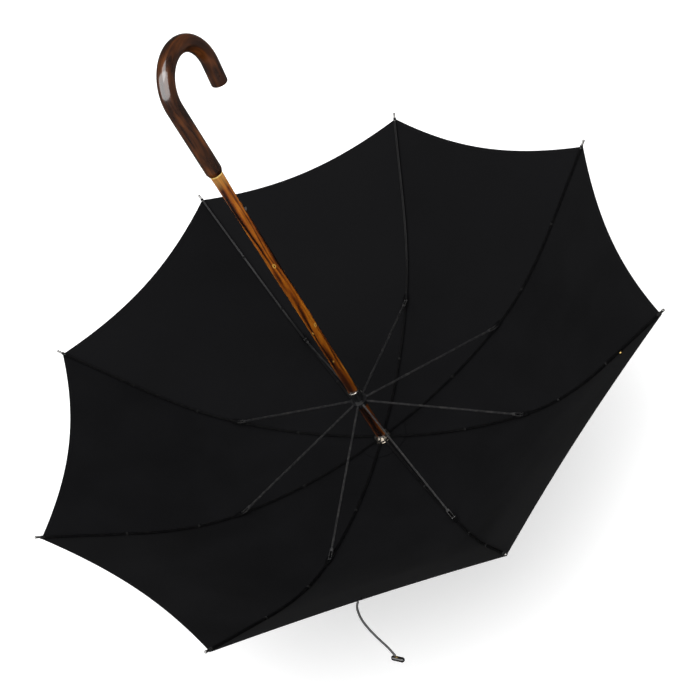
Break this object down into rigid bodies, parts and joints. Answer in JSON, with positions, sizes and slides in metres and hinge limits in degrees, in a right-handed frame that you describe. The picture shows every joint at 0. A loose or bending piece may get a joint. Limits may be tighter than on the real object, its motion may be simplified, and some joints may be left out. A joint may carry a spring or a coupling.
{
  "type": "stick umbrella",
  "caption": "Open stick umbrella: one-piece wooden shaft and crook handle, channel ribs and stretchers on a sliding runner, scalloped black cover.",
  "frame": {"origin": "centre of the ferrule's tip, on the stick's axis", "axes": "+Z along the stick from the ferrule to the crook, +X the way the crook opens"},
  "size_m": [1.0646, 1.0646, 0.878],
  "materials": {
    "wood": "scorched chestnut, gloss varnish",
    "cover_cloth": "tightly woven black umbrella cloth",
    "black_steel": "black lacquered steel channel, semi-gloss",
    "runner_black": "black enamelled brass tube",
    "nickel": "polished nickel plate",
    "brass": "polished brass",
    "strap_elastic": "round woven elastic",
    "toggle_black": "polished black horn-like plastic"
  },
  "bodies": {
    "stick": {"stick": "wood", "ferrule": "nickel", "top_cap": "black_steel", "outer_rosette": "cover_cloth", "inner_rosette": "cover_cloth", "notch": "nickel", "notch_wire": "nickel", "stop_pin": "nickel", "catch_pins": "nickel", "gore_1": "cover_cloth", "gore_2": "cover_cloth", "gore_3": "cover_cloth", "gore_4": "cover_cloth", "gore_5": "cover_cloth", "gore_6": "cover_cloth", "gore_7": "cover_cloth", "gore_8": "cover_cloth"},
    "rib_1": {"rib_1": "black_steel"},
    "rib_outer_1": {"rib_outer_1": "black_steel", "rib_tip_1": "nickel"},
    "stretcher_1": {"stretcher_1": "black_steel"},
    "rib_2": {"rib_2": "black_steel"},
    "rib_outer_2": {"rib_outer_2": "black_steel", "rib_tip_2": "nickel"},
    "stretcher_2": {"stretcher_2": "black_steel"},
    "rib_3": {"rib_3": "black_steel"},
    "rib_outer_3": {"rib_outer_3": "black_steel", "rib_tip_3": "nickel", "cover_button": "brass"},
    "stretcher_3": {"stretcher_3": "black_steel"},
    "rib_4": {"rib_4": "black_steel"},
    "rib_outer_4": {"rib_outer_4": "black_steel", "rib_tip_4": "nickel"},
    "stretcher_4": {"stretcher_4": "black_steel"},
    "rib_5": {"rib_5": "black_steel"},
    "rib_outer_5": {"rib_outer_5": "black_steel", "rib_tip_5": "nickel"},
    "stretcher_5": {"stretcher_5": "black_steel"},
    "rib_6": {"rib_6": "black_steel"},
    "rib_outer_6": {"rib_outer_6": "black_steel", "rib_tip_6": "nickel"},
    "stretcher_6": {"stretcher_6": "black_steel"},
    "rib_7": {"rib_7": "black_steel"},
    "rib_outer_7": {"rib_outer_7": "black_steel", "rib_tip_7": "nickel"},
    "stretcher_7": {"stretcher_7": "black_steel"},
    "rib_8": {"rib_8": "black_steel"},
    "rib_outer_8": {"rib_outer_8": "black_steel", "rib_tip_8": "nickel"},
    "stretcher_8": {"stretcher_8": "black_steel"},
    "runner": {"runner_tube": "runner_black", "runner_hub": "runner_black", "runner_wire": "nickel", "runner_rim": "nickel"},
    "top_catch": {"top_catch": "nickel"},
    "bottom_catch": {"bottom_catch": "nickel"},
    "strap_tab": {"strap_tab": "cover_cloth"},
    "strap": {"strap": "strap_elastic", "strap_link": "brass", "strap_toggle": "toggle_black"}
  },
  "joints": [
    {"name": "canopy_fold", "type": "hinge", "parent": "stick", "child": "rib_1", "pos_m": [0.01193, 0.00125, 0.08], "axis": [0.1045, -0.9945, 0], "range_deg": [0, 76.65], "deforming": ["gore_1", "gore_2", "gore_3", "gore_4", "gore_5", "gore_6", "gore_7", "gore_8", "inner_rosette"]},
    {"name": "rib_1_flex", "type": "hinge", "parent": "rib_1", "child": "rib_outer_1", "pos_m": [0.26961, 0.02834, 0.13201], "axis": [0.1045, -0.9945, 0], "range_deg": [-28.75, 0]},
    {"name": "stretcher_1_joint", "type": "hinge", "parent": "rib_1", "child": "stretcher_1", "pos_m": [0.26961, 0.02834, 0.13201], "axis": [0.1045, -0.9945, 0], "range_deg": [-153.3, 0]},
    {"name": "rib_2_fold", "type": "hinge", "parent": "stick", "child": "rib_2", "pos_m": [0.00933, -0.00755, 0.08], "axis": [-0.6293, -0.7771, 0], "range_deg": [0, 76.65]},
    {"name": "rib_2_flex", "type": "hinge", "parent": "rib_2", "child": "rib_outer_2", "pos_m": [0.21068, -0.17061, 0.13201], "axis": [-0.6293, -0.7771, 0], "range_deg": [-28.75, 0]},
    {"name": "stretcher_2_joint", "type": "hinge", "parent": "rib_2", "child": "stretcher_2", "pos_m": [0.21068, -0.17061, 0.13201], "axis": [-0.6293, -0.7771, 0], "range_deg": [-153.3, 0]},
    {"name": "rib_3_fold", "type": "hinge", "parent": "stick", "child": "rib_3", "pos_m": [0.00125, -0.01193, 0.08], "axis": [-0.9945, -0.1045, 0], "range_deg": [0, 76.65]},
    {"name": "rib_3_flex", "type": "hinge", "parent": "rib_3", "child": "rib_outer_3", "pos_m": [0.02834, -0.26961, 0.13201], "axis": [-0.9945, -0.1045, 0], "range_deg": [-28.75, 0]},
    {"name": "stretcher_3_joint", "type": "hinge", "parent": "rib_3", "child": "stretcher_3", "pos_m": [0.02834, -0.26961, 0.13201], "axis": [-0.9945, -0.1045, 0], "range_deg": [-153.3, 0]},
    {"name": "rib_4_fold", "type": "hinge", "parent": "stick", "child": "rib_4", "pos_m": [-0.00755, -0.00933, 0.08], "axis": [-0.7771, 0.6293, 0], "range_deg": [0, 76.65]},
    {"name": "rib_4_flex", "type": "hinge", "parent": "rib_4", "child": "rib_outer_4", "pos_m": [-0.17061, -0.21068, 0.13201], "axis": [-0.7771, 0.6293, 0], "range_deg": [-28.75, 0]},
    {"name": "stretcher_4_joint", "type": "hinge", "parent": "rib_4", "child": "stretcher_4", "pos_m": [-0.17061, -0.21068, 0.13201], "axis": [-0.7771, 0.6293, 0], "range_deg": [-153.3, 0]},
    {"name": "rib_5_fold", "type": "hinge", "parent": "stick", "child": "rib_5", "pos_m": [-0.01193, -0.00125, 0.08], "axis": [-0.1045, 0.9945, 0], "range_deg": [0, 76.65]},
    {"name": "rib_5_flex", "type": "hinge", "parent": "rib_5", "child": "rib_outer_5", "pos_m": [-0.26961, -0.02834, 0.13201], "axis": [-0.1045, 0.9945, 0], "range_deg": [-28.75, 0]},
    {"name": "stretcher_5_joint", "type": "hinge", "parent": "rib_5", "child": "stretcher_5", "pos_m": [-0.26961, -0.02834, 0.13201], "axis": [-0.1045, 0.9945, 0], "range_deg": [-153.3, 0]},
    {"name": "rib_6_fold", "type": "hinge", "parent": "stick", "child": "rib_6", "pos_m": [-0.00933, 0.00755, 0.08], "axis": [0.6293, 0.7771, 0], "range_deg": [0, 76.65]},
    {"name": "rib_6_flex", "type": "hinge", "parent": "rib_6", "child": "rib_outer_6", "pos_m": [-0.21068, 0.17061, 0.13201], "axis": [0.6293, 0.7771, 0], "range_deg": [-28.75, 0]},
    {"name": "stretcher_6_joint", "type": "hinge", "parent": "rib_6", "child": "stretcher_6", "pos_m": [-0.21068, 0.17061, 0.13201], "axis": [0.6293, 0.7771, 0], "range_deg": [-153.3, 0]},
    {"name": "rib_7_fold", "type": "hinge", "parent": "stick", "child": "rib_7", "pos_m": [-0.00125, 0.01193, 0.08], "axis": [0.9945, 0.1045, 0], "range_deg": [0, 76.65]},
    {"name": "rib_7_flex", "type": "hinge", "parent": "rib_7", "child": "rib_outer_7", "pos_m": [-0.02834, 0.26961, 0.13201], "axis": [0.9945, 0.1045, 0], "range_deg": [-28.75, 0]},
    {"name": "stretcher_7_joint", "type": "hinge", "parent": "rib_7", "child": "stretcher_7", "pos_m": [-0.02834, 0.26961, 0.13201], "axis": [0.9945, 0.1045, 0], "range_deg": [-153.3, 0]},
    {"name": "rib_8_fold", "type": "hinge", "parent": "stick", "child": "rib_8", "pos_m": [0.00755, 0.00933, 0.08], "axis": [0.7771, -0.6293, 0], "range_deg": [0, 76.65]},
    {"name": "rib_8_flex", "type": "hinge", "parent": "rib_8", "child": "rib_outer_8", "pos_m": [0.17061, 0.21068, 0.13201], "axis": [0.7771, -0.6293, 0], "range_deg": [-28.75, 0]},
    {"name": "stretcher_8_joint", "type": "hinge", "parent": "rib_8", "child": "stretcher_8", "pos_m": [0.17061, 0.21068, 0.13201], "axis": [0.7771, -0.6293, 0], "range_deg": [-153.3, 0]},
    {"name": "runner_travel", "type": "hinge", "parent": "stretcher_1", "child": "runner", "pos_m": [0.01193, 0.00125, 0.18402], "axis": [0.1045, -0.9945, 0], "range_deg": [0, 76.65]},
    {"name": "top_catch_press", "type": "hinge", "parent": "stick", "child": "top_catch", "pos_m": [0.00511, -0.00493, 0.17001], "axis": [-0.6947, -0.7193, 0], "range_deg": [0, 4.5], "stiffness_Nm_per_rad": 0.6},
    {"name": "bottom_catch_press", "type": "hinge", "parent": "stick", "child": "bottom_catch", "pos_m": [0.00511, -0.00493, 0.66221], "axis": [0.6947, 0.7193, 0], "range_deg": [0, 4.5], "stiffness_Nm_per_rad": 0.6},
    {"name": "strap_gather", "type": "slide", "parent": "rib_outer_4", "child": "strap_tab", "axis": [0.6108, -0.7666, -0.1978], "range_m": [0, 0.17899]},
    {"name": "strap_hang", "type": "hinge", "parent": "strap_tab", "child": "strap", "pos_m": [-0.41695, -0.22639, 0.33454], "axis": [-0.7771, 0.6293, 0], "range_deg": [-47.9, 0]}
  ],
  "couplings": [
    {"joint": "rib_1_flex", "follows": "canopy_fold", "ratio": -0.37514},
    {"joint": "stretcher_1_joint", "follows": "canopy_fold", "ratio": -2},
    {"joint": "rib_2_fold", "follows": "canopy_fold", "ratio": 1},
    {"joint": "rib_2_flex", "follows": "canopy_fold", "ratio": -0.37514},
    {"joint": "stretcher_2_joint", "follows": "canopy_fold", "ratio": -2},
    {"joint": "rib_3_fold", "follows": "canopy_fold", "ratio": 1},
    {"joint": "rib_3_flex", "follows": "canopy_fold", "ratio": -0.37514},
    {"joint": "stretcher_3_joint", "follows": "canopy_fold", "ratio": -2},
    {"joint": "rib_4_fold", "follows": "canopy_fold", "ratio": 1},
    {"joint": "rib_4_flex", "follows": "canopy_fold", "ratio": -0.37514},
    {"joint": "stretcher_4_joint", "follows": "canopy_fold", "ratio": -2},
    {"joint": "rib_5_fold", "follows": "canopy_fold", "ratio": 1},
    {"joint": "rib_5_flex", "follows": "canopy_fold", "ratio": -0.37514},
    {"joint": "stretcher_5_joint", "follows": "canopy_fold", "ratio": -2},
    {"joint": "rib_6_fold", "follows": "canopy_fold", "ratio": 1},
    {"joint": "rib_6_flex", "follows": "canopy_fold", "ratio": -0.37514},
    {"joint": "stretcher_6_joint", "follows": "canopy_fold", "ratio": -2},
    {"joint": "rib_7_fold", "follows": "canopy_fold", "ratio": 1},
    {"joint": "rib_7_flex", "follows": "canopy_fold", "ratio": -0.37514},
    {"joint": "stretcher_7_joint", "follows": "canopy_fold", "ratio": -2},
    {"joint": "rib_8_fold", "follows": "canopy_fold", "ratio": 1},
    {"joint": "rib_8_flex", "follows": "canopy_fold", "ratio": -0.37514},
    {"joint": "stretcher_8_joint", "follows": "canopy_fold", "ratio": -2},
    {"joint": "runner_travel", "follows": "canopy_fold", "ratio": 1},
    {"joint": "strap_gather", "follows": "canopy_fold", "m_per_rad": 0.13379},
    {"joint": "strap_hang", "follows": "canopy_fold", "ratio": -0.62486}
  ]
}
